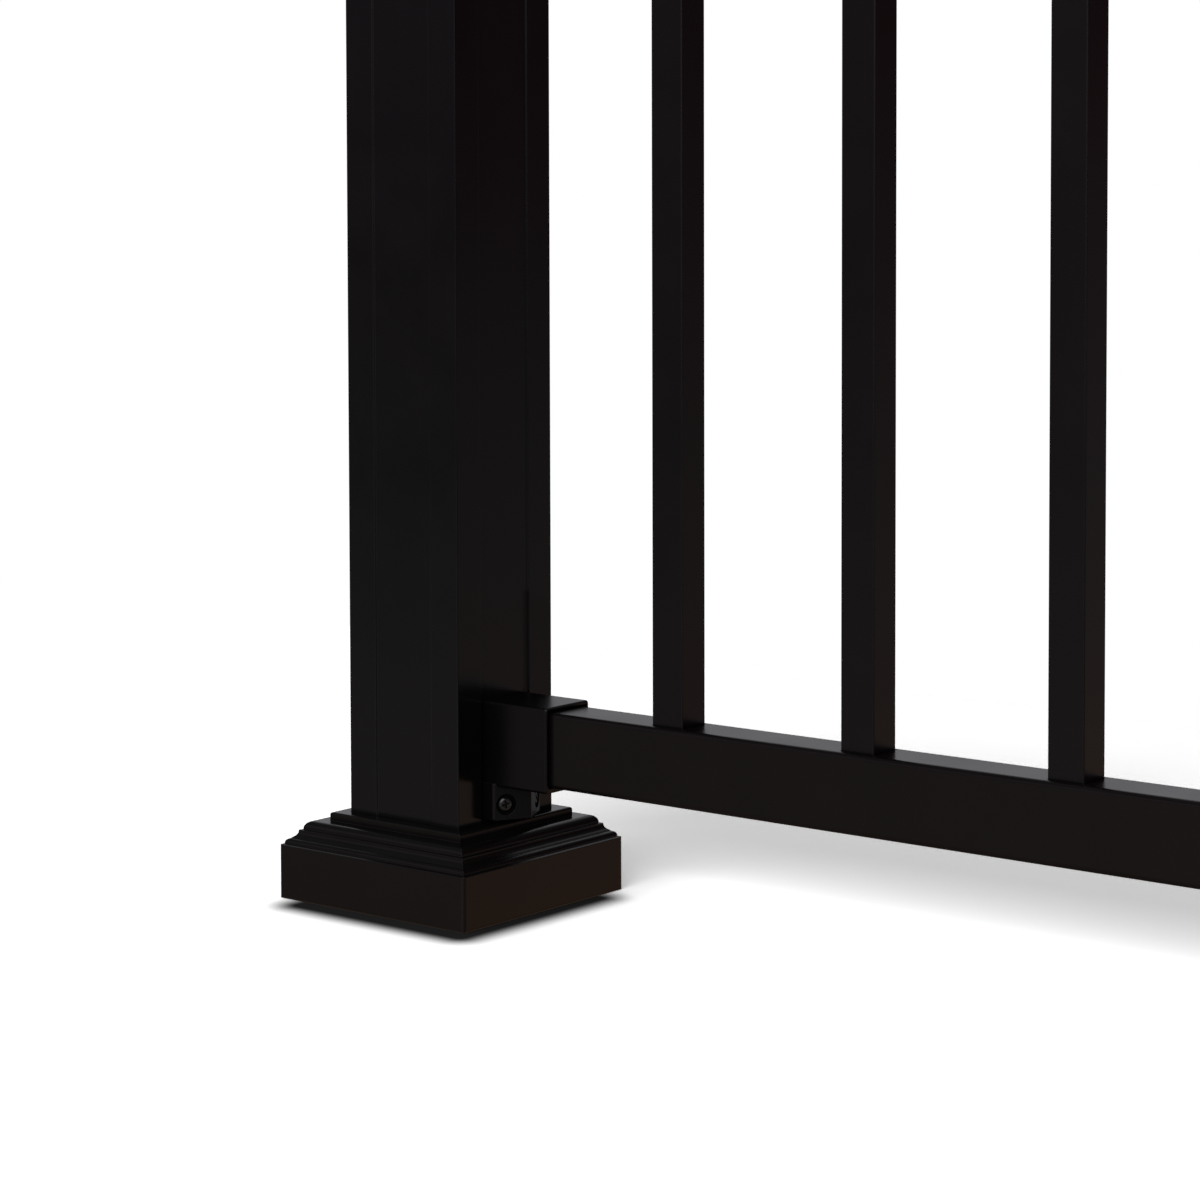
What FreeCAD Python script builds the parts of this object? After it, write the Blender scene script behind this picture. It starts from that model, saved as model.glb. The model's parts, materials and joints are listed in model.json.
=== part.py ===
import FreeCAD, Part
import math
import os

# One bay of a deck railing in millimetres: two posts on base plates, two rails and their balusters.
# The origin is on the deck at the middle of the left post, X runs along the rails and Z is up.

# Bay
post_spacing = 1905.0
railing_height = 914.4

# Rails
rail_width = 28.6
rail_height = 39.4
rail_wall = 1.8
rail_edge_radius = 2.6

# Balusters
baluster_width = 19.05
baluster_wall = 1.4
baluster_corner_bevel = 0.5
baluster_spacing = 114.3
baluster_least_end_gap = 90.0
baluster_hole_clearance = 0.3
baluster_top_gap = 0.3

# Socket brackets that hold the rail ends
socket_length = 43.0
socket_side_wall = 1.9
socket_roof = 1.8
socket_floor = 2.5
socket_back = 3.2
socket_edge_radius = 1.6
socket_mouth_bevel = 0.8
rail_side_clearance = 1.5
rail_top_clearance = 0.9
rail_end_clearance = 0.5

# Screw lug under each socket: two slanted faces that meet in an upright ridge, one screw in each
lug_overhang = 1.1
lug_end_thickness = 8.5
lug_ridge_rise = 9.8
lug_drop = 18.5
lug_ridge_radius = 0.8
lug_side_foot_radius = 1.6
lug_front_foot_bevel = 0.8
lug_screw_inset = 7.0
lug_screw_height = 8.8
lug_screw_diameter = 5.2
lug_seat_diameter = 11.2
lug_seat_depth = 3.0
pilot_diameter = 4.4

# Posts
post_width = 76.2
post_corner_radius = 0.6
post_wall = 2.6
post_rise_above_rail = 38.1
panel_margin = 1.6
panel_depth = 0.9
panel_step_run = 0.6

# Moulded trim round the foot of each post, from the collar down and out
post_clearance = 0.3
trim_collar_wall = 7.4
trim_collar_rise = 4.5
trim_collar_edge_radius = 1.2
trim_shoulder_run = 6.4
trim_round_run = 3.7
trim_round_rise = 4.3
trim_step_run = 1.8
trim_step_rise = 0.3
trim_cove_run = 2.0
trim_cove_rise = 3.5
trim_cove_bulge = -0.15
trim_slope_run = 1.1
trim_slope_rise = 0.9
trim_bead_run = 2.2
trim_bead_rise = 2.6
trim_ledge_run = 2.1
trim_ledge_rise = 0.6
trim_band_height = 28.8
trim_foot_radius = 1.5
trim_corner_radius = 2.0
trim_wall = 2.4
trim_gap_under_lug = 1.9

# Base plate inside the trim
plate_clearance = 1.7
plate_thickness = 9.5
plate_corner_radius = 8.0
plate_bolt_spacing = 95.25
plate_bolt_diameter = 11.1

# Cap on each post
cap_wall = 2.2
cap_skirt_height = 14.0
cap_crown_height = 9.0
cap_edge_bevel = 1.5
cap_lip_run = 3.0
cap_flat_width = 12.0

# Working values: how far a cutting shape runs past what it cuts, how close counts as touching,
# and how far a quarter circle stands off its chord
overrun = 1.0
touching = 0.1
quarter_bulge = (math.sqrt(2.0) - 1.0) / 2.0

# Sizes that follow from the ones above
post_half = post_width / 2.0
opening_half = post_half + post_clearance
socket_width = rail_width + 2 * (rail_side_clearance + socket_side_wall)
lug_half = socket_width / 2.0 + lug_overhang
panel_half_width = socket_width / 2.0 + panel_margin
panel_x = post_half - panel_depth
lug_end_x = panel_x + lug_end_thickness
lug_ridge_x = lug_end_x + lug_ridge_rise
lug_slant = math.atan2(lug_ridge_rise, lug_half)

# Corners of the trim's profile as (half width, height), from the deck up
shoulder_z = (trim_band_height + trim_ledge_rise + trim_bead_rise + trim_slope_rise + trim_cove_rise
              + trim_step_rise + trim_round_rise)
collar_half = opening_half + trim_collar_wall
round_top = (collar_half + trim_shoulder_run, shoulder_z)
step_in = (round_top[0] + trim_round_run, round_top[1] - trim_round_rise)
cove_top = (step_in[0] + trim_step_run, step_in[1] - trim_step_rise)
cove_foot = (cove_top[0] + trim_cove_run, cove_top[1] - trim_cove_rise)
bead_top = (cove_foot[0] + trim_slope_run, cove_foot[1] - trim_slope_rise)
bead_foot = (bead_top[0] + trim_bead_run, bead_top[1] - trim_bead_rise)
band_half = bead_foot[0] + trim_ledge_run
band_top = (band_half, trim_band_height)
trim_top_z = shoulder_z + trim_collar_rise

plate_half = band_half - trim_wall - plate_clearance
bottom_rail_z = trim_top_z + trim_gap_under_lug + lug_drop + socket_floor
top_rail_z = railing_height - rail_height
post_top_z = railing_height + post_rise_above_rail

# As many balusters as fit at their spacing, with equal gaps at both ends
baluster_room = post_spacing - post_width - 2 * baluster_least_end_gap
baluster_count = 1 + int(baluster_room / baluster_spacing)
first_baluster_x = (post_spacing - (baluster_count - 1) * baluster_spacing) / 2.0


def vec(x, y, z):
    return FreeCAD.Vector(x, y, z)


def square_bar(half_width, low_z, high_z, x=0.0):
    # A sharp square bar that stands at x on the middle line
    corner = vec(x - half_width, -half_width, low_z)
    return Part.makeBox(2 * half_width, 2 * half_width, high_z - low_z, corner)


def upright_edges(bar):
    return [edge for edge in bar.Edges if edge.BoundBox.ZLength > bar.BoundBox.ZLength / 2.0]


def foot_edges(shape):
    return [edge for edge in shape.Edges if edge.BoundBox.ZMax < shape.BoundBox.ZMin + touching]


def rounded_bar(half_width, low_z, high_z, radius):
    # An upright bar on the post's middle line, with rounded corners
    bar = square_bar(half_width, low_z, high_z)
    return bar.makeFillet(radius, upright_edges(bar))


def lines(*corners):
    # Straight profile edges through (half width, height) corners
    points = [vec(half_width, 0, z) for half_width, z in corners]
    return [Part.makeLine(start, end) for start, end in zip(points, points[1:])]


def curve(start, end, bulge):
    # A profile arc that stands off its chord by a share of the chord: outwards for a bulge above 0
    run = end[0] - start[0]
    rise = end[1] - start[1]
    middle = ((start[0] + end[0]) / 2.0 + bulge * rise, (start[1] + end[1]) / 2.0 - bulge * run)
    points = [vec(half_width, 0, z) for half_width, z in (start, middle, end)]
    return [Part.Arc(*points).toShape()]


def square_moulding(profile):
    # A solid with square level sections and mitred corners; the profile edges run up its right side
    mirrored = [edge.mirror(vec(0, 0, 0), vec(1, 0, 0)) for edge in profile]
    foot = profile[0].Vertexes[0].Point
    head = profile[-1].Vertexes[-1].Point
    foot_line = Part.makeLine(vec(-foot.x, 0, foot.z), foot)
    head_line = Part.makeLine(head, vec(-head.x, 0, head.z))
    outline = Part.Wire(Part.__sortEdges__([foot_line, head_line] + profile + mirrored))
    reach = max(edge.BoundBox.XMax for edge in profile) + overrun
    along_y = Part.Face(outline).extrude(vec(0, 2 * reach, 0))
    along_y.translate(vec(0, -reach, 0))
    along_x = along_y.copy()
    along_x.rotate(vec(0, 0, 0), vec(0, 0, 1), 90)
    return along_y.common(along_x)


def edges_along_x(shape):
    # The edges that run the shape's whole length in x
    return [edge for edge in shape.Edges if edge.BoundBox.XLength > shape.BoundBox.XLength / 2.0]


def edges_facing_x(shape, face_x):
    # The edges round the end face that stands at face_x
    return [edge for edge in shape.Edges if edge.BoundBox.XMin > face_x - touching]


def lug_screws(rail_z):
    # For both screws of a lug: where the axis meets the slanted face, and the face's outward direction
    x = lug_end_x + lug_screw_inset * math.sin(lug_slant)
    y = lug_half - lug_screw_inset * math.cos(lug_slant)
    z = rail_z - socket_floor - lug_drop + lug_screw_height
    return [(vec(x, side * y, z), vec(math.cos(lug_slant), side * math.sin(lug_slant), 0))
            for side in (-1, 1)]


def bore(diameter, depth, face_point, outward):
    # A hole of this depth below a face, run out past the face as well
    start = face_point + outward * overrun
    return Part.makeCylinder(diameter / 2.0, depth + overrun, start, outward * -1)


def make_post():
    # A square tube with a shallow panel down each face, drilled for the bracket screws
    tube = rounded_bar(post_half, plate_thickness, post_top_z, post_corner_radius)
    low_z = plate_thickness - overrun
    high_z = post_top_z + overrun
    rim = panel_half_width + panel_step_run / 2.0
    flat = panel_half_width - panel_step_run / 2.0
    panel_outline = Part.makePolygon([
        vec(post_half + overrun, -rim, low_z),
        vec(post_half, -rim, low_z),
        vec(panel_x, -flat, low_z),
        vec(panel_x, flat, low_z),
        vec(post_half, rim, low_z),
        vec(post_half + overrun, rim, low_z),
        vec(post_half + overrun, -rim, low_z),
    ])
    panel = Part.Face(panel_outline).extrude(vec(0, 0, high_z - low_z))
    for quarter in range(4):
        turned = panel.copy()
        turned.rotate(vec(0, 0, 0), vec(0, 0, 1), 90 * quarter)
        tube = tube.cut(turned)
    bore_half = post_half - post_wall
    tube = tube.cut(square_bar(bore_half, low_z, high_z))
    for rail_z in (bottom_rail_z, top_rail_z):
        for face_point, outward in lug_screws(rail_z):
            depth = (face_point.x - bore_half + 2 * overrun) / outward.x
            tube = tube.cut(bore(pilot_diameter, depth, face_point, outward))
    return tube


def make_base_plate():
    plate = rounded_bar(plate_half, 0.0, plate_thickness, plate_corner_radius)
    hole_radius = plate_bolt_diameter / 2.0
    hole_reach = plate_bolt_spacing / 2.0
    for x in (-hole_reach, hole_reach):
        for y in (-hole_reach, hole_reach):
            plate = plate.cut(Part.makeCylinder(hole_radius, plate_thickness, vec(x, y, 0)))
    return plate


def make_base_trim():
    # Rounded foot, plain band, ledge, bead, cove, step, quarter round, shoulder and an upright collar
    foot_turn = (band_half, trim_foot_radius)
    collar_turn = (collar_half, trim_top_z - trim_collar_edge_radius)
    collar_top = (collar_half - trim_collar_edge_radius, trim_top_z)
    profile = curve((band_half - trim_foot_radius, 0.0), foot_turn, quarter_bulge)
    profile += lines(foot_turn, band_top, bead_foot)
    profile += curve(bead_foot, bead_top, quarter_bulge)
    profile += lines(bead_top, cove_foot)
    profile += curve(cove_foot, cove_top, trim_cove_bulge)
    profile += lines(cove_top, step_in)
    profile += curve(step_in, round_top, quarter_bulge)
    profile += lines(round_top, (collar_half, shoulder_z), collar_turn)
    profile += curve(collar_turn, collar_top, quarter_bulge)
    outside = square_moulding(profile)
    outside = outside.common(rounded_bar(band_half, 0.0, trim_top_z, trim_corner_radius))
    # The hollow underneath follows the outside, one wall thickness in and down from its corners
    hollow_corners = [(half_width - trim_wall, z - trim_wall)
                      for half_width, z in (band_top, bead_top, cove_top, step_in, round_top)]
    hollow = square_moulding(lines((band_half - trim_wall, -overrun), *hollow_corners))
    opening = rounded_bar(opening_half, -overrun, trim_top_z + overrun, post_corner_radius)
    return outside.cut(hollow).cut(opening)


def make_post_cap():
    # A skirt that sleeves over the post, a bevelled lip and a low four-sided crown
    skirt_half = opening_half + cap_wall
    skirt_foot_z = post_top_z - cap_skirt_height
    lip_z = post_top_z + cap_wall
    cap = square_moulding(lines(
        (skirt_half, skirt_foot_z),
        (skirt_half, lip_z - cap_edge_bevel),
        (skirt_half - cap_edge_bevel, lip_z),
        (skirt_half - cap_lip_run, lip_z),
        (cap_flat_width / 2.0, lip_z + cap_crown_height),
    ))
    return cap.cut(rounded_bar(opening_half, skirt_foot_z - overrun, post_top_z, post_corner_radius))


def make_rail(rail_z, punched_wall_z):
    # A hollow rail that ends inside the sockets, with square holes punched through one wall
    start_x = panel_x + socket_back + rail_end_clearance
    length = post_spacing - 2 * start_x
    outside = Part.makeBox(length, rail_width, rail_height, vec(start_x, -rail_width / 2.0, rail_z))
    rail = outside.makeFillet(rail_edge_radius, edges_along_x(outside))
    inside = Part.makeBox(length, rail_width - 2 * rail_wall, rail_height - 2 * rail_wall,
                          vec(start_x, -rail_width / 2.0 + rail_wall, rail_z + rail_wall))
    rail = rail.cut(inside)
    hole_half = baluster_width / 2.0 + baluster_hole_clearance
    for x in baluster_places():
        rail = rail.cut(square_bar(hole_half, punched_wall_z, punched_wall_z + rail_wall, x))
    return rail


def make_lug(foot_z, head_z):
    # A block with a pentagon plan: flat against the post, two short sides and two slanted faces
    corners = [(panel_x, -lug_half), (lug_end_x, -lug_half), (lug_ridge_x, 0.0), (lug_end_x, lug_half),
               (panel_x, lug_half), (panel_x, -lug_half)]
    plan = Part.Face(Part.makePolygon([vec(x, y, foot_z) for x, y in corners]))
    lug = plan.extrude(vec(0, 0, head_z - foot_z))
    ridge = [edge for edge in upright_edges(lug) if edge.BoundBox.XMin > lug_end_x + touching]
    lug = lug.makeFillet(lug_ridge_radius, ridge)
    foot_sides = [edge for edge in foot_edges(lug) if edge.BoundBox.YLength < touching]
    lug = lug.makeFillet(lug_side_foot_radius, foot_sides)
    foot_front = [edge for edge in foot_edges(lug) if edge.BoundBox.XMin > panel_x + touching]
    return lug.makeChamfer(lug_front_foot_bevel, foot_front)


def make_bracket(rail_z):
    # A socket round the rail's end with a closed back, and a thick lug below it for two screws
    half = socket_width / 2.0
    end_x = panel_x + socket_length
    floor_z = rail_z - socket_floor
    roof_z = rail_z + rail_height + rail_top_clearance + socket_roof
    body = Part.makeBox(socket_length, socket_width, roof_z - floor_z, vec(panel_x, -half, floor_z))
    body = body.makeFillet(socket_edge_radius, edges_along_x(body))
    body = body.makeChamfer(socket_mouth_bevel, edges_facing_x(body, end_x))
    lug = make_lug(floor_z - lug_drop, floor_z + socket_edge_radius)
    bracket = body.fuse(lug).removeSplitter()
    pocket_width = rail_width + 2 * rail_side_clearance
    pocket = Part.makeBox(socket_length, pocket_width, rail_height + rail_top_clearance,
                          vec(panel_x + socket_back, -pocket_width / 2.0, rail_z))
    bracket = bracket.cut(pocket)
    for face_point, outward in lug_screws(rail_z):
        through = (face_point.x - panel_x + 2 * overrun) / outward.x
        bracket = bracket.cut(bore(lug_screw_diameter, through, face_point, outward))
        bracket = bracket.cut(bore(lug_seat_diameter, lug_seat_depth, face_point, outward))
    return bracket


def baluster_places():
    return [first_baluster_x + number * baluster_spacing for number in range(baluster_count)]


def make_baluster(x):
    # A square tube from the bottom rail's floor to just under the top rail's upper wall
    low_z = bottom_rail_z + rail_wall
    high_z = top_rail_z + rail_height - rail_wall - baluster_top_gap
    half = baluster_width / 2.0
    bar = square_bar(half, low_z, high_z, x)
    tube = bar.makeChamfer(baluster_corner_bevel, upright_edges(bar))
    return tube.cut(square_bar(half - baluster_wall, low_z, high_z, x))


def turned_to_far_post(shape):
    turned = shape.copy()
    turned.rotate(vec(post_spacing / 2.0, 0, 0), vec(0, 0, 1), 180)
    return turned


def save(name, shape):
    solid = shape.Solids[0]
    solid.exportStep("parts/%s.step" % name)
    print(name, len(shape.Solids), shape.isValid(), round(solid.Volume), len(solid.Faces))


os.makedirs("parts", exist_ok=True)

end_pieces = {
    "post": make_post(),
    "base_plate": make_base_plate(),
    "base_trim": make_base_trim(),
    "post_cap": make_post_cap(),
    "bracket_bottom": make_bracket(bottom_rail_z),
    "bracket_top": make_bracket(top_rail_z),
}
for name, shape in end_pieces.items():
    save(name + "_left", shape)
    save(name + "_right", turned_to_far_post(shape))

save("bottom_rail", make_rail(bottom_rail_z, bottom_rail_z + rail_height - rail_wall))
save("top_rail", make_rail(top_rail_z, top_rail_z))

for number, x in enumerate(baluster_places(), start=1):
    save("baluster_%02d" % number, make_baluster(x))
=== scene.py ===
import bpy
import json
import math
from mathutils import Matrix, Vector

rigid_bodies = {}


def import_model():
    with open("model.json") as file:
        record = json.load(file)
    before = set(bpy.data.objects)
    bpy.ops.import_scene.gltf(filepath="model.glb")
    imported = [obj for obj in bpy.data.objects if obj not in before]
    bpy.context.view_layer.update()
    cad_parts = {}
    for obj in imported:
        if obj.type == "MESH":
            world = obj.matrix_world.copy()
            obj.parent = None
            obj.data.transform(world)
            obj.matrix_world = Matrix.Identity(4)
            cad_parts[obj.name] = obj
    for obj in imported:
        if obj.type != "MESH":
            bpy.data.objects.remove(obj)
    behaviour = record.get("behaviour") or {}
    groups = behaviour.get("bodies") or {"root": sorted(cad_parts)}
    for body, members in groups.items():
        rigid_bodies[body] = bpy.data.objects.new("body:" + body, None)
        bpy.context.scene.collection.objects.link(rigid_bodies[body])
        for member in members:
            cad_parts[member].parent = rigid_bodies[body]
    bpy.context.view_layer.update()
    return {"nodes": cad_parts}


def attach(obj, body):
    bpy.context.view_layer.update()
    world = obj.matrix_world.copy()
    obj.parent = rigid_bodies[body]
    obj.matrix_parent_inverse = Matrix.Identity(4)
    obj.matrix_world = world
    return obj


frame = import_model()
scene = bpy.context.scene
mm = 0.001
bayLength = 1905.0 * mm   # between the posts' middles


# small helpers

def deselectAll():
    for obj in scene.objects:
        obj.select_set(False)


def makeActive(obj):
    deselectAll()
    obj.select_set(True)
    bpy.context.view_layer.objects.active = obj


def settleInMesh(obj):
    # the place and turn go into the mesh, so that the object sits at the origin
    makeActive(obj)
    bpy.ops.object.transform_apply(location=True, rotation=True, scale=True)


def selectFaces(obj, wanted):
    # picks faces by a test on their centre and normal, outside edit mode
    for face in obj.data.polygons:
        face.select = wanted(face.center, face.normal)
    for edge in obj.data.edges:
        edge.select = False
    for corner in obj.data.vertices:
        corner.select = False


# camera: the photo looks along the bay from its near left corner, close to the deck

cameraLook = {
    "lens": 97.16,
    "sensor": 36.0,
    "shift": (0.0508, -0.225),
    "place": (1.13218, -1.28984, 0.39136),
    "turn": (87.017, 0.206, 39.674),   # degrees
}


def makeCamera(look):
    cam = bpy.data.cameras.new("photoCamera")
    cam.lens = look["lens"]
    cam.sensor_width = look["sensor"]
    cam.shift_x, cam.shift_y = look["shift"]
    obj = bpy.data.objects.new("photoCamera", cam)
    scene.collection.objects.link(obj)
    obj.location = look["place"]
    obj.rotation_euler = [math.radians(angle) for angle in look["turn"]]
    scene.camera = obj


makeCamera(cameraLook)
print("camera set")


# node helpers

def newMaterial(name):
    material = bpy.data.materials.new(name)
    material.use_nodes = True
    nodes = material.node_tree.nodes
    nodes.clear()
    return material, nodes, material.node_tree.links


def addNode(nodes, kind, **values):
    # values that match an input name set that input, the others are settings of the node
    node = nodes.new(kind)
    for key, value in values.items():
        if key in node.inputs:
            node.inputs[key].default_value = value
        else:
            setattr(node, key, value)
    return node


def addRamp(nodes, stops, easing="LINEAR"):
    ramp = nodes.new("ShaderNodeValToRGB")
    ramp.color_ramp.interpolation = easing
    while len(ramp.color_ramp.elements) < len(stops):
        ramp.color_ramp.elements.new(0.5)
    for element, (place, colour) in zip(ramp.color_ramp.elements, stops):
        element.position = place
        element.color = (*colour, 1.0)
    return ramp


def addSpan(nodes, links, source, fromSpan, toSpan=(0.0, 1.0), easing="LINEAR"):
    # turns one span of values into another
    span = addNode(nodes, "ShaderNodeMapRange", interpolation_type=easing)
    span.inputs["From Min"].default_value, span.inputs["From Max"].default_value = fromSpan
    span.inputs["To Min"].default_value, span.inputs["To Max"].default_value = toSpan
    links.new(source, span.inputs["Value"])
    return span.outputs["Result"]


def addMix(nodes, links, share, first, second):
    # second is a colour, or a socket that gives one
    mix = addNode(nodes, "ShaderNodeMix", data_type="RGBA")
    links.new(share, mix.inputs[0])
    links.new(first, mix.inputs[6])
    if isinstance(second, tuple):
        mix.inputs[7].default_value = (*second, 1.0)
    else:
        links.new(second, mix.inputs[7])
    return mix.outputs[2]


def addShare(nodes, links, source, share):
    part = addNode(nodes, "ShaderNodeMath", operation="MULTIPLY")
    part.inputs[1].default_value = share
    links.new(source, part.inputs[0])
    return part.outputs["Value"]


# satin black powder coat

powderCoat = {
    "grainSize": 0.0011,      # metres between the bumps of the orange peel
    "grainHeight": 0.00002,
    "cloudSize": 0.055,       # metres across a patch of thinner or thicker coat
    "cloudSpan": (0.36, 0.66),
    "glossSpan": (0.3, 0.7),
    "glossSwing": 0.03,       # how far the roughness strays either way
    "speckSize": 0.0006,
    "speckSpan": (0.70, 0.80),
    "speckShare": 0.35,
    "speckColour": (0.030, 0.029, 0.030),
    "wornSpan": (0.995, 0.86),   # cosine between the rounded and the flat normal
    "wornShare": 0.5,
    "wornColour": (0.022, 0.021, 0.022),
    "cornerShadeSpan": (0.15, 0.86),    # painted shade: from a deep corner to an open face
    "shadedMirrorSpan": (0.06, 0.5),   # how much these two mirror, so that corners are darkened as painted shade
    "raySamples": 6,
}

# edge is the radius that the coat rounds edges to, corner how near other faces make a deep corner whose
# reflection is darkened as painted shade, in metres
# each part's reflection tint is a painted reflection colour, standing in for the colour of the surroundings it
# mirrors
coatFinishes = {
    "post_coat": {
        "colour": (0.0058, 0.0049, 0.0054), "cloudColour": (0.0044, 0.0038, 0.0042),
        "paintedReflectionTint": (0.94, 0.985, 1.0), "roughness": 0.20, "ior": 1.5, "edge": 0.0008, "corner": 0.0035,
    },
    "trim_coat": {
        "colour": (0.0054, 0.0046, 0.0042), "cloudColour": (0.0040, 0.0034, 0.0031),
        "paintedReflectionTint": (1.0, 0.96, 0.92), "roughness": 0.23, "ior": 1.5, "edge": 0.0005, "corner": 0.010,
    },
    # the bracket's colour is darker than the same coat on the other parts: painted shade for the shade it sits
    # in beside the post
    "bracket_coat": {
        "colour": (0.0026, 0.0023, 0.0025), "cloudColour": (0.0020, 0.0017, 0.0019),
        "paintedReflectionTint": (1.0, 0.97, 0.99), "roughness": 0.30, "ior": 1.5, "edge": 0.0003, "corner": 0.0035,
    },
    "rail_coat": {
        "colour": (0.0058, 0.0044, 0.0045), "cloudColour": (0.0044, 0.0034, 0.0035),
        "paintedReflectionTint": (1.0, 0.93, 0.94), "roughness": 0.28, "ior": 1.5, "edge": 0.0006, "corner": 0.0035,
    },
    "baluster_coat": {
        "colour": (0.0044, 0.0038, 0.0041), "cloudColour": (0.0033, 0.0029, 0.0031),
        "paintedReflectionTint": (1.0, 0.98, 1.0), "roughness": 0.26, "ior": 1.5, "edge": 0.0005, "corner": 0.0035,
    },
    "screw_coat": {
        "colour": (0.0080, 0.0078, 0.0080), "cloudColour": (0.0050, 0.0048, 0.0050),
        "paintedReflectionTint": (1.0, 1.0, 1.0), "roughness": 0.18, "ior": 2.1, "edge": 0.0002, "corner": 0.0035,
    },
}


def makeCoat(slot, finish, look):
    material, nodes, links = newMaterial(slot + "Finish")
    place = addNode(nodes, "ShaderNodeTexCoord")
    cloud = addNode(nodes, "ShaderNodeTexNoise", Scale=1.0 / look["cloudSize"], Detail=4.0, Roughness=0.55)
    grain = addNode(nodes, "ShaderNodeTexNoise", Scale=1.0 / look["grainSize"], Detail=2.0, Roughness=0.5)
    speck = addNode(nodes, "ShaderNodeTexNoise", Scale=1.0 / look["speckSize"], Detail=1.0, Roughness=0.6)
    for texture in (cloud, grain, speck):
        links.new(place.outputs["Object"], texture.inputs["Vector"])

    # rounded edges: the turned normal also shows where the coat is thin and rubbed
    rounded = addNode(nodes, "ShaderNodeBevel", samples=look["raySamples"], Radius=finish["edge"])
    surface = addNode(nodes, "ShaderNodeNewGeometry")
    alike = addNode(nodes, "ShaderNodeVectorMath", operation="DOT_PRODUCT")
    links.new(rounded.outputs["Normal"], alike.inputs[0])
    links.new(surface.outputs["Normal"], alike.inputs[1])
    edge = addSpan(nodes, links, alike.outputs["Value"], look["wornSpan"])

    cloudFrom, cloudTo = look["cloudSpan"]
    clouded = addRamp(nodes, [(cloudFrom, finish["cloudColour"]), (cloudTo, finish["colour"])], "EASE")
    links.new(cloud.outputs["Fac"], clouded.inputs["Fac"])
    speckFrom, speckTo = look["speckSpan"]
    dust = addRamp(nodes, [(speckFrom, (0.0, 0.0, 0.0)), (speckTo, (1.0, 1.0, 1.0))])
    links.new(speck.outputs["Fac"], dust.inputs["Fac"])
    dustShare = addShare(nodes, links, dust.outputs["Color"], look["speckShare"])
    dusted = addMix(nodes, links, dustShare, clouded.outputs["Color"], look["speckColour"])
    wornShare = addShare(nodes, links, edge, look["wornShare"])
    worn = addMix(nodes, links, wornShare, dusted, look["wornColour"])

    rough = (finish["roughness"] - look["glossSwing"], finish["roughness"] + look["glossSwing"])
    gloss = addSpan(nodes, links, cloud.outputs["Fac"], look["glossSpan"], rough)

    # painted shade: the reflections in deep corners are darkened; the moulded trim counts only its own shape
    corner = addNode(nodes, "ShaderNodeAmbientOcclusion", samples=look["raySamples"],
                     only_local=slot == "trim_coat", Distance=finish["corner"])
    links.new(rounded.outputs["Normal"], corner.inputs["Normal"])
    cornerShadedMirror = addSpan(nodes, links, corner.outputs["AO"], look["cornerShadeSpan"], look["shadedMirrorSpan"])

    peel = addNode(nodes, "ShaderNodeBump", Strength=1.0, Distance=look["grainHeight"])
    links.new(grain.outputs["Fac"], peel.inputs["Height"])
    links.new(rounded.outputs["Normal"], peel.inputs["Normal"])

    coat = addNode(nodes, "ShaderNodeBsdfPrincipled")
    coat.inputs["IOR"].default_value = finish["ior"]
    # painted reflection colour: this tint stands in for the colour of what the part mirrors
    coat.inputs["Specular Tint"].default_value = (*finish["paintedReflectionTint"], 1.0)
    links.new(worn, coat.inputs["Base Color"])
    # the mirror share is lowered in corners, painted shade
    links.new(cornerShadedMirror, coat.inputs["Specular IOR Level"])
    links.new(gloss, coat.inputs["Roughness"])
    links.new(peel.outputs["Normal"], coat.inputs["Normal"])
    end = addNode(nodes, "ShaderNodeOutputMaterial")
    links.new(coat.outputs["BSDF"], end.inputs["Surface"])
    return material


finishes = {slot: makeCoat(slot, finish, powderCoat) for slot, finish in coatFinishes.items()}
print("coats made")


# mill finish aluminium of the hidden base plates

plateMetal = {
    "colour": (0.52, 0.53, 0.54),
    "darkColour": (0.36, 0.37, 0.38),
    "stainScale": 22.0,        # stains per metre
    "roughSpan": (0.28, 0.48),
    "lineStep": 0.0008,        # metres between the rolling lines, which run along y
    "lineStretch": 0.04,
    "lineHeight": 0.00002,
}


def makePlateMetal(look):
    material, nodes, links = newMaterial("plateMetalFinish")
    place = addNode(nodes, "ShaderNodeTexCoord")
    stretch = addNode(nodes, "ShaderNodeMapping")
    stretch.inputs["Scale"].default_value = (1.0, look["lineStretch"], 1.0)
    links.new(place.outputs["Object"], stretch.inputs["Vector"])
    rolled = addNode(nodes, "ShaderNodeTexNoise", Scale=1.0 / look["lineStep"], Detail=3.0, Roughness=0.6)
    links.new(stretch.outputs["Vector"], rolled.inputs["Vector"])
    stain = addNode(nodes, "ShaderNodeTexNoise", Scale=look["stainScale"], Detail=5.0, Roughness=0.6)
    links.new(place.outputs["Object"], stain.inputs["Vector"])
    colour = addRamp(nodes, [(0.35, look["darkColour"]), (0.65, look["colour"])])
    links.new(stain.outputs["Fac"], colour.inputs["Fac"])
    gloss = addSpan(nodes, links, rolled.outputs["Fac"], (0.0, 1.0), look["roughSpan"])
    lines = addNode(nodes, "ShaderNodeBump", Strength=0.6, Distance=look["lineHeight"])
    links.new(rolled.outputs["Fac"], lines.inputs["Height"])
    metal = addNode(nodes, "ShaderNodeBsdfPrincipled", Metallic=1.0)
    links.new(colour.outputs["Color"], metal.inputs["Base Color"])
    links.new(gloss, metal.inputs["Roughness"])
    links.new(lines.outputs["Normal"], metal.inputs["Normal"])
    end = addNode(nodes, "ShaderNodeOutputMaterial")
    links.new(metal.outputs["BSDF"], end.inputs["Surface"])
    return material


finishes["plate_metal"] = makePlateMetal(plateMetal)


def coatNodes():
    # every piece of the frame takes the finish of its own slot
    for obj in frame["nodes"].values():
        for holder in obj.material_slots:
            slotName = holder.material.name.split(".")[0]
            holder.material = finishes[slotName]


coatNodes()
print("pieces coated")


# pan head screws in the lugs under the sockets

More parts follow.
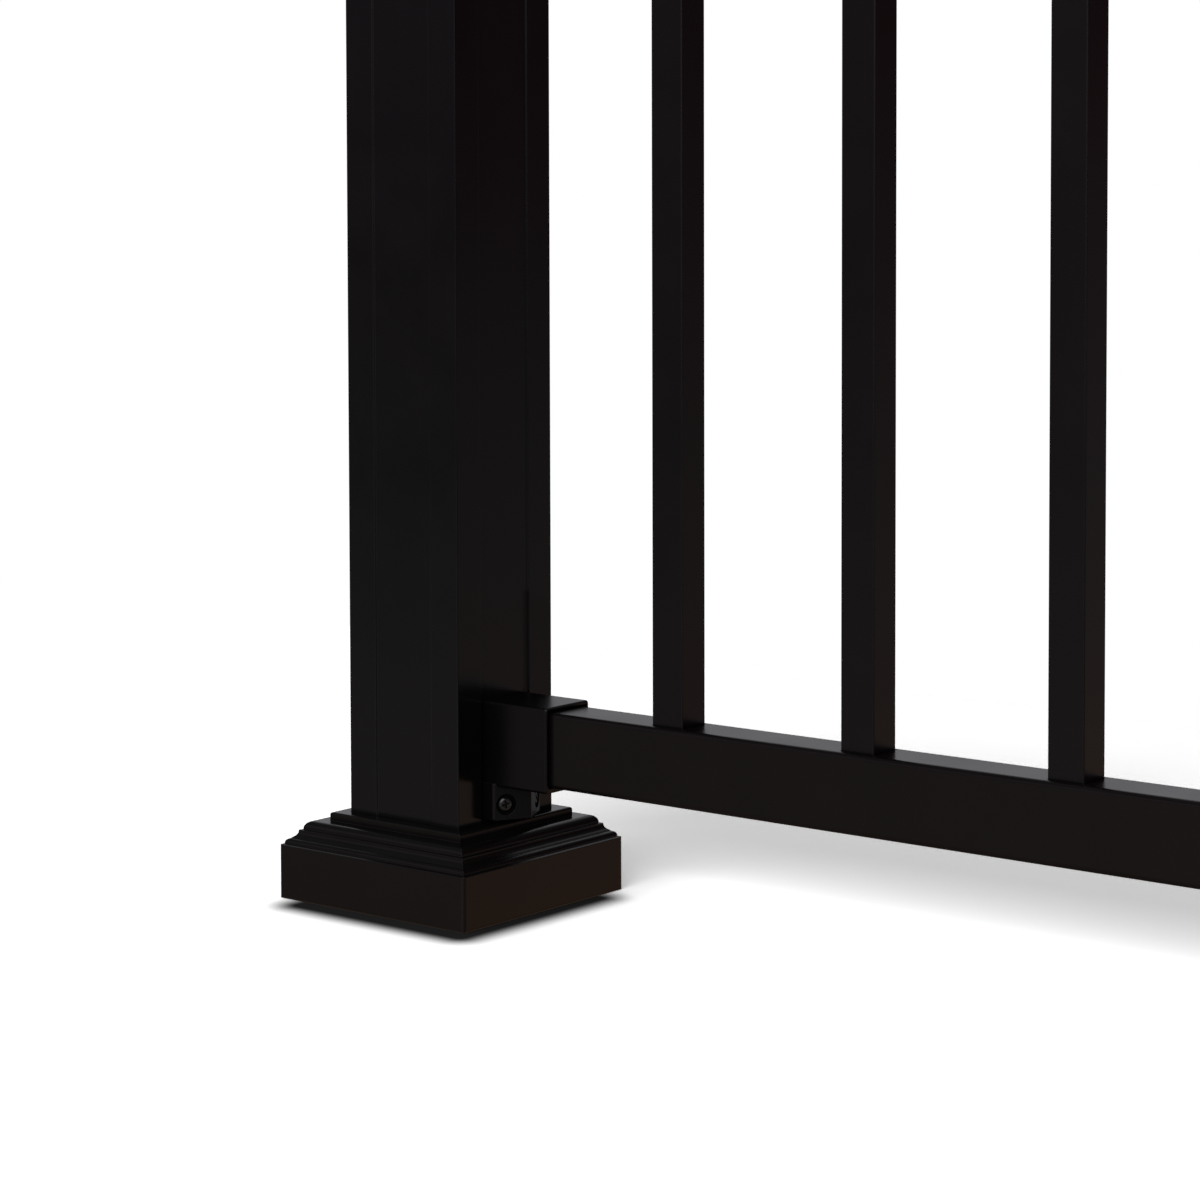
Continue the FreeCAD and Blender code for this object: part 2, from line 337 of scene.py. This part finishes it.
screwLook = {
    "headRadius": 4.2 * mm,
    "headHeight": 2.7 * mm,
    "headRound": 1.9 * mm,
    "headSides": 40,
    "roundSteps": 7,
    "shankRadius": 2.1 * mm,
    "shankLength": 17.5 * mm,
    "tipLength": 3.0 * mm,
    "tipTaper": 0.15,
    "crossWidth": 1.25 * mm,
    "crossReach": 2.5 * mm,
    "crossDepth": 1.9 * mm,
    "crossTaper": 0.55,
    "crossSpare": 0.4 * mm,      # the cutter stands twice this above the head
    "softWidth": 0.12 * mm,
    "softAngle": 40.0,           # degrees, as the next one
    "smoothAngle": 35.0,
    "seatDepth": 3.0 * mm,
    "turns": (12.0, 55.0, 34.0, 71.0, 5.0, 48.0, 80.0, 26.0),   # degrees about the screw's own axis
}

# where each screw's axis meets the lug's slanted face, as in the frame
lugScrews = {
    "facePoint": (48.936 * mm, 12.593 * mm),
    "slant": 27.53,          # degrees
    "heights": {"bottom": 56.2 * mm, "top": 862.8 * mm},
}


def makeScrewCutter(look):
    # a cross of two bars that taper downwards
    arms = []
    middle = look["headHeight"] - look["crossDepth"] / 2 + look["crossSpare"]
    for angle in (0.0, 90.0):
        bpy.ops.mesh.primitive_cube_add(size=1.0, location=(0, 0, middle))
        arm = bpy.context.object
        arm.scale = (look["crossReach"] * 2, look["crossWidth"], look["crossDepth"] + 2 * look["crossSpare"])
        arm.rotation_euler[2] = math.radians(angle)
        settleInMesh(arm)
        selectFaces(arm, lambda centre, normal: normal.z < -0.9)
        bpy.ops.object.mode_set(mode="EDIT")
        bpy.ops.mesh.select_mode(type="FACE")
        bpy.ops.transform.resize(value=(look["crossTaper"], look["crossTaper"], 1.0), center_override=(0, 0, 0))
        bpy.ops.object.mode_set(mode="OBJECT")
        arms.append(arm)
    return arms


def makeScrew(look):
    deselectAll()
    bpy.ops.mesh.primitive_cylinder_add(vertices=look["headSides"], radius=look["headRadius"],
                                        depth=look["headHeight"], location=(0, 0, look["headHeight"] / 2))
    screw = bpy.context.object
    screw.name = "lug_screw"
    settleInMesh(screw)
    # round the top of the head
    top = look["headHeight"]
    bpy.ops.object.mode_set(mode="EDIT")
    bpy.ops.mesh.select_mode(type="EDGE")
    bpy.ops.mesh.select_all(action="DESELECT")
    bpy.ops.object.mode_set(mode="OBJECT")
    for edge in screw.data.edges:
        ends = [screw.data.vertices[index].co for index in edge.vertices]
        edge.select = all(end.z > top - 0.01 * mm for end in ends)
    bpy.ops.object.mode_set(mode="EDIT")
    bpy.ops.mesh.bevel(offset=look["headRound"], segments=look["roundSteps"], profile=0.5)
    bpy.ops.mesh.select_all(action="DESELECT")
    bpy.ops.object.mode_set(mode="OBJECT")
    # draw the shank and its point out of the underside
    selectFaces(screw, lambda centre, normal: normal.z < -0.9)
    bpy.ops.object.mode_set(mode="EDIT")
    bpy.ops.mesh.select_mode(type="FACE")
    bpy.ops.mesh.inset(thickness=look["headRadius"] - look["shankRadius"])
    bpy.ops.mesh.extrude_region_move(TRANSFORM_OT_translate={"value": (0, 0, -look["shankLength"])})
    bpy.ops.mesh.extrude_region_move(TRANSFORM_OT_translate={"value": (0, 0, -look["tipLength"])})
    tip = -look["shankLength"] - look["tipLength"]
    bpy.ops.transform.resize(value=(look["tipTaper"], look["tipTaper"], 1.0), center_override=(0, 0, tip))
    bpy.ops.object.mode_set(mode="OBJECT")
    # sink the cross recess
    for arm in makeScrewCutter(look):
        makeActive(screw)
        cut = screw.modifiers.new("recess", "BOOLEAN")
        cut.operation = "DIFFERENCE"
        cut.object = arm
        cut.solver = "EXACT"
        bpy.ops.object.modifier_apply(modifier=cut.name)
        bpy.data.objects.remove(arm)
    makeActive(screw)
    soften = screw.modifiers.new("soften", "BEVEL")
    soften.width = look["softWidth"]
    soften.segments = 2
    soften.limit_method = "ANGLE"
    soften.angle_limit = math.radians(look["softAngle"])
    bpy.ops.object.modifier_apply(modifier=soften.name)
    bpy.ops.object.shade_smooth_by_angle(angle=math.radians(look["smoothAngle"]))
    screw.data.materials.clear()
    screw.data.materials.append(finishes["screw_coat"])
    return screw


def placeScrews(model, look, places):
    slant = math.radians(places["slant"])
    # the far post is the near one turned half round about the middle of the bay
    there = Matrix.Translation((bayLength / 2, 0, 0))
    halfTurn = there @ Matrix.Rotation(math.pi, 4, "Z") @ there.inverted()
    number = 0
    for level, height in places["heights"].items():
        for end in ("left", "right"):
            for side, sign in (("front", -1), ("back", 1)):
                outward = Vector((math.cos(slant), sign * math.sin(slant), 0))
                x, y = places["facePoint"]
                seat = Vector((x, sign * y, height)) - outward * look["seatDepth"]
                copy = model.copy()
                copy.data = model.data.copy()
                copy.name = "lug_screw_" + level + "_" + end + "_" + side
                scene.collection.objects.link(copy)
                turn = Matrix.Rotation(math.radians(look["turns"][number]), 4, "Z")
                aim = outward.to_track_quat("Z", "Y").to_matrix().to_4x4()
                stand = Matrix.Translation(seat) @ aim @ turn
                if end == "right":
                    stand = halfTurn @ stand
                copy.matrix_world = stand
                settleInMesh(copy)
                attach(copy, "root")
                number += 1
    bpy.data.objects.remove(model)
    return number


screwCount = placeScrews(makeScrew(screwLook), screwLook, lugScrews)
print("screws placed:", screwCount)


# stage: pale floor that only the camera sees, with a painted contact shadow under each base, and what the coat
# mirrors

stageLook = {
    "floorSize": (14.0, 9.0),
    "floorMiddle": (0.9, -3.8),          # it ends 0.7 m behind the bay
    "floorColour": (0.90, 0.90, 0.90),
    "floorGain": 4.0,                    # the floor sends back more, so the lights stay low on the coat
    "paintedShadowShift": (0.0118, -0.0151),   # the painted contact shadow under each base lies a little forward
    "paintedShadowHalf": 0.0550,
    "paintedShadowBlur": (0.0034, 0.0232),     # metres from the painted shadow's square where it begins to fade and where it ends
    "paintedShadowColour": (0.0110, 0.0108, 0.0108),
}


def makeFloor(look):
    deselectAll()
    bpy.ops.mesh.primitive_plane_add(size=1.0, location=(*look["floorMiddle"], 0))
    floor = bpy.context.object
    floor.name = "floor"
    floor.scale = (*look["floorSize"], 1)
    settleInMesh(floor)
    material, nodes, links = newMaterial("paleFloorWithPaintedShadow")
    place = addNode(nodes, "ShaderNodeTexCoord")
    split = addNode(nodes, "ShaderNodeSeparateXYZ")
    links.new(place.outputs["Object"], split.inputs["Vector"])

    def reckon(operation, first, second=None, value=None):
        node = addNode(nodes, "ShaderNodeMath", operation=operation)
        links.new(first, node.inputs[0])
        if second is not None:
            links.new(second, node.inputs[1])
        if value is not None:
            node.inputs[1].default_value = value
        return node.outputs["Value"]

    def pastEdge(along):
        past = reckon("SUBTRACT", reckon("ABSOLUTE", along), value=look["paintedShadowHalf"])
        return reckon("MAXIMUM", past, value=0.0)

    # painted contact shadow: distance from a soft square under the nearer post, by symmetry about the middle of
    # the bay
    fromMiddle = reckon("ABSOLUTE", reckon("SUBTRACT", split.outputs["X"], value=bayLength / 2))
    alongX = reckon("SUBTRACT", fromMiddle, value=bayLength / 2 - look["paintedShadowShift"][0])
    alongY = reckon("SUBTRACT", split.outputs["Y"], value=look["paintedShadowShift"][1])
    overX, overY = pastEdge(alongX), pastEdge(alongY)
    squares = reckon("ADD", reckon("MULTIPLY", overX, overX), reckon("MULTIPLY", overY, overY))
    distance = reckon("SQRT", squares)
    # painted shadow: the floor's colour darkens towards each base
    fade = addSpan(nodes, links, distance, look["paintedShadowBlur"], easing="SMOOTHSTEP")
    shade = addRamp(nodes, [(0.0, look["paintedShadowColour"]), (1.0, look["floorColour"])])
    links.new(fade, shade.inputs["Fac"])
    gain = addNode(nodes, "ShaderNodeVectorMath", operation="SCALE")
    gain.inputs["Scale"].default_value = look["floorGain"]
    links.new(shade.outputs["Color"], gain.inputs[0])
    matt = addNode(nodes, "ShaderNodeBsdfDiffuse")
    links.new(gain.outputs["Vector"], matt.inputs["Color"])
    end = addNode(nodes, "ShaderNodeOutputMaterial")
    links.new(matt.outputs["BSDF"], end.inputs["Surface"])
    floor.data.materials.append(material)
    floor.visible_diffuse = False
    floor.visible_glossy = False


# a flag card just behind the bottom rail: it keeps the strip light off the floor there
flagCard = {"x": (-0.100, 2.005), "y": 0.017, "z": (0.070, 0.165)}


def makeFlagCard(look):
    deselectAll()
    width = look["x"][1] - look["x"][0]
    height = look["z"][1] - look["z"][0]
    bpy.ops.mesh.primitive_plane_add(size=1.0, location=(sum(look["x"]) / 2, look["y"], sum(look["z"]) / 2),
                                     rotation=(math.radians(90), 0, 0))
    card = bpy.context.object
    card.name = "flag_card"
    card.scale = (width, height, 1)
    settleInMesh(card)
    for kind in ("camera", "diffuse", "glossy", "transmission", "volume_scatter"):
        setattr(card, "visible_" + kind, False)


# light that the coat mirrors, by the height of the direction: frontStops towards the camera's left, backStops
# behind the bay; 0.5 is the horizon
worldLook = {
    "fill": 0.190,
    "frontWay": (-0.638, -0.769, 0.0),
    "frontSpan": (-0.6, 0.6),   # cosines to frontWay between which the front takes over
    "frontStops": [
        (0.000, (0.060, 0.050, 0.046)),
        (0.230, (0.150, 0.118, 0.100)),
        (0.340, (0.092, 0.080, 0.076)),
        (0.385, (0.148, 0.112, 0.100)),
        (0.413, (0.186, 0.168, 0.174)),
        (0.436, (0.146, 0.146, 0.144)),
        (0.454, (0.046, 0.047, 0.047)),
        (0.500, (0.070, 0.054, 0.060)),
        (0.523, (0.120, 0.096, 0.110)),
        (0.650, (0.150, 0.130, 0.150)),
        (0.710, (0.230, 0.220, 0.240)),
        (0.800, (0.070, 0.068, 0.074)),
        (0.900, (0.060, 0.060, 0.065)),
        (1.000, (0.300, 0.300, 0.320)),
    ],
    "backStops": [
        (0.000, (0.030, 0.028, 0.028)),
        (0.330, (0.190, 0.110, 0.068)),
        (0.384, (0.335, 0.181, 0.104)),
        (0.394, (0.240, 0.152, 0.110)),
        (0.404, (0.160, 0.124, 0.114)),
        (0.420, (0.128, 0.118, 0.120)),
        (0.445, (0.125, 0.112, 0.120)),
        (0.463, (0.115, 0.094, 0.098)),
        (0.482, (0.094, 0.078, 0.084)),
        (0.508, (0.070, 0.032, 0.040)),
        (0.523, (0.048, 0.014, 0.019)),
        (0.600, (0.030, 0.014, 0.019)),
        (0.700, (0.030, 0.024, 0.030)),
        (0.900, (0.070, 0.070, 0.075)),
        (1.000, (0.300, 0.300, 0.320)),
    ],
    "sideGain": {"span": (0.78, 0.90), "gain": (0.97, 1.75)},   # the front is brighter straight ahead
    # soft lobes: direction, inner and outer angle in degrees, light
    "lobes": {
        "backSky": {"way": (122.0, 21.0), "angles": (22.0, 38.0), "light": (0.44, 0.435, 0.46)},
        "backFloor": {"way": (100.0, -14.0), "angles": (10.0, 28.0), "light": (0.105, 0.100, 0.100)},
        "rightSide": {"way": (-8.0, -8.0), "angles": (14.0, 36.0), "light": (0.085, 0.080, 0.082)},
        "cameraSide": {"way": (-38.0, 34.0), "angles": (9.0, 38.0), "light": (0.95, 0.92, 0.96)},
    },
}


def makeWorld(look):
    world = bpy.data.worlds.new("studio")
    world.use_nodes = True
    scene.world = world
    nodes = world.node_tree.nodes
    links = world.node_tree.links
    nodes.clear()
    ray = addNode(nodes, "ShaderNodeLightPath")
    way = addNode(nodes, "ShaderNodeTexCoord")
    split = addNode(nodes, "ShaderNodeSeparateXYZ")
    links.new(way.outputs["Generated"], split.inputs["Vector"])

    def towards(direction, span, toSpan=(0.0, 1.0), easing="SMOOTHSTEP"):
        # changes as the ray turns towards this direction, between two cosines
        facing = addNode(nodes, "ShaderNodeVectorMath", operation="DOT_PRODUCT")
        facing.inputs[1].default_value = direction
        links.new(way.outputs["Generated"], facing.inputs[0])
        return addSpan(nodes, links, facing.outputs["Value"], span, toSpan, easing)

    lift = addSpan(nodes, links, split.outputs["Z"], (-1.0, 1.0))
    front = addRamp(nodes, look["frontStops"])
    back = addRamp(nodes, look["backStops"])
    links.new(lift, front.inputs["Fac"])
    links.new(lift, back.inputs["Fac"])
    sideGain = towards((0.0, -1.0, 0.0), look["sideGain"]["span"], look["sideGain"]["gain"], "LINEAR")
    frontGained = addNode(nodes, "ShaderNodeVectorMath", operation="SCALE")
    links.new(front.outputs["Color"], frontGained.inputs[0])
    links.new(sideGain, frontGained.inputs["Scale"])
    frontShare = towards(look["frontWay"], look["frontSpan"])
    colour = addMix(nodes, links, frontShare, back.outputs["Color"], frontGained.outputs["Vector"])
    for lobe in look["lobes"].values():
        turn, rise = [math.radians(angle) for angle in lobe["way"]]
        direction = (math.cos(rise) * math.cos(turn), math.cos(rise) * math.sin(turn), math.sin(rise))
        inner, outer = [math.cos(math.radians(angle)) for angle in lobe["angles"]]
        colour = addMix(nodes, links, towards(direction, (outer, inner)), colour, lobe["light"])
    mirror = addNode(nodes, "ShaderNodeBackground", Strength=1.0)
    links.new(colour, mirror.inputs["Color"])
    fill = addNode(nodes, "ShaderNodeBackground", Color=(1, 1, 1, 1), Strength=look["fill"])
    white = addNode(nodes, "ShaderNodeBackground", Color=(1, 1, 1, 1), Strength=1.0)
    lit = addNode(nodes, "ShaderNodeMixShader")
    links.new(ray.outputs["Is Glossy Ray"], lit.inputs[0])
    links.new(fill.outputs[0], lit.inputs[1])
    links.new(mirror.outputs[0], lit.inputs[2])
    seen = addNode(nodes, "ShaderNodeMixShader")
    links.new(ray.outputs["Is Camera Ray"], seen.inputs[0])
    links.new(lit.outputs[0], seen.inputs[1])
    links.new(white.outputs[0], seen.inputs[2])
    end = addNode(nodes, "ShaderNodeOutputWorld")
    links.new(seen.outputs[0], end.inputs["Surface"])


# a strip light in front: its length blurs the shadows of the upright bars and keeps the rail's
frontStrip = {"place": (1.85, -7.4, 3.2), "aim": (1.85, 0.0, 0.1), "size": (8.7, 1.75), "power": 330.0}


def makeAreaLight(name, look):
    light = bpy.data.lights.new(name, "AREA")
    light.shape = "RECTANGLE"
    light.size, light.size_y = look["size"]
    light.energy = look["power"]
    obj = bpy.data.objects.new(name, light)
    scene.collection.objects.link(obj)
    obj.location = look["place"]
    way = Vector(look["aim"]) - Vector(look["place"])
    obj.rotation_euler = way.to_track_quat("-Z", "Y").to_euler()
    obj.visible_camera = False
    obj.visible_glossy = False


makeFloor(stageLook)
makeFlagCard(flagCard)
makeWorld(worldLook)
makeAreaLight("frontStrip", frontStrip)
scene.view_settings.view_transform = "Standard"
print("stage and lights set")
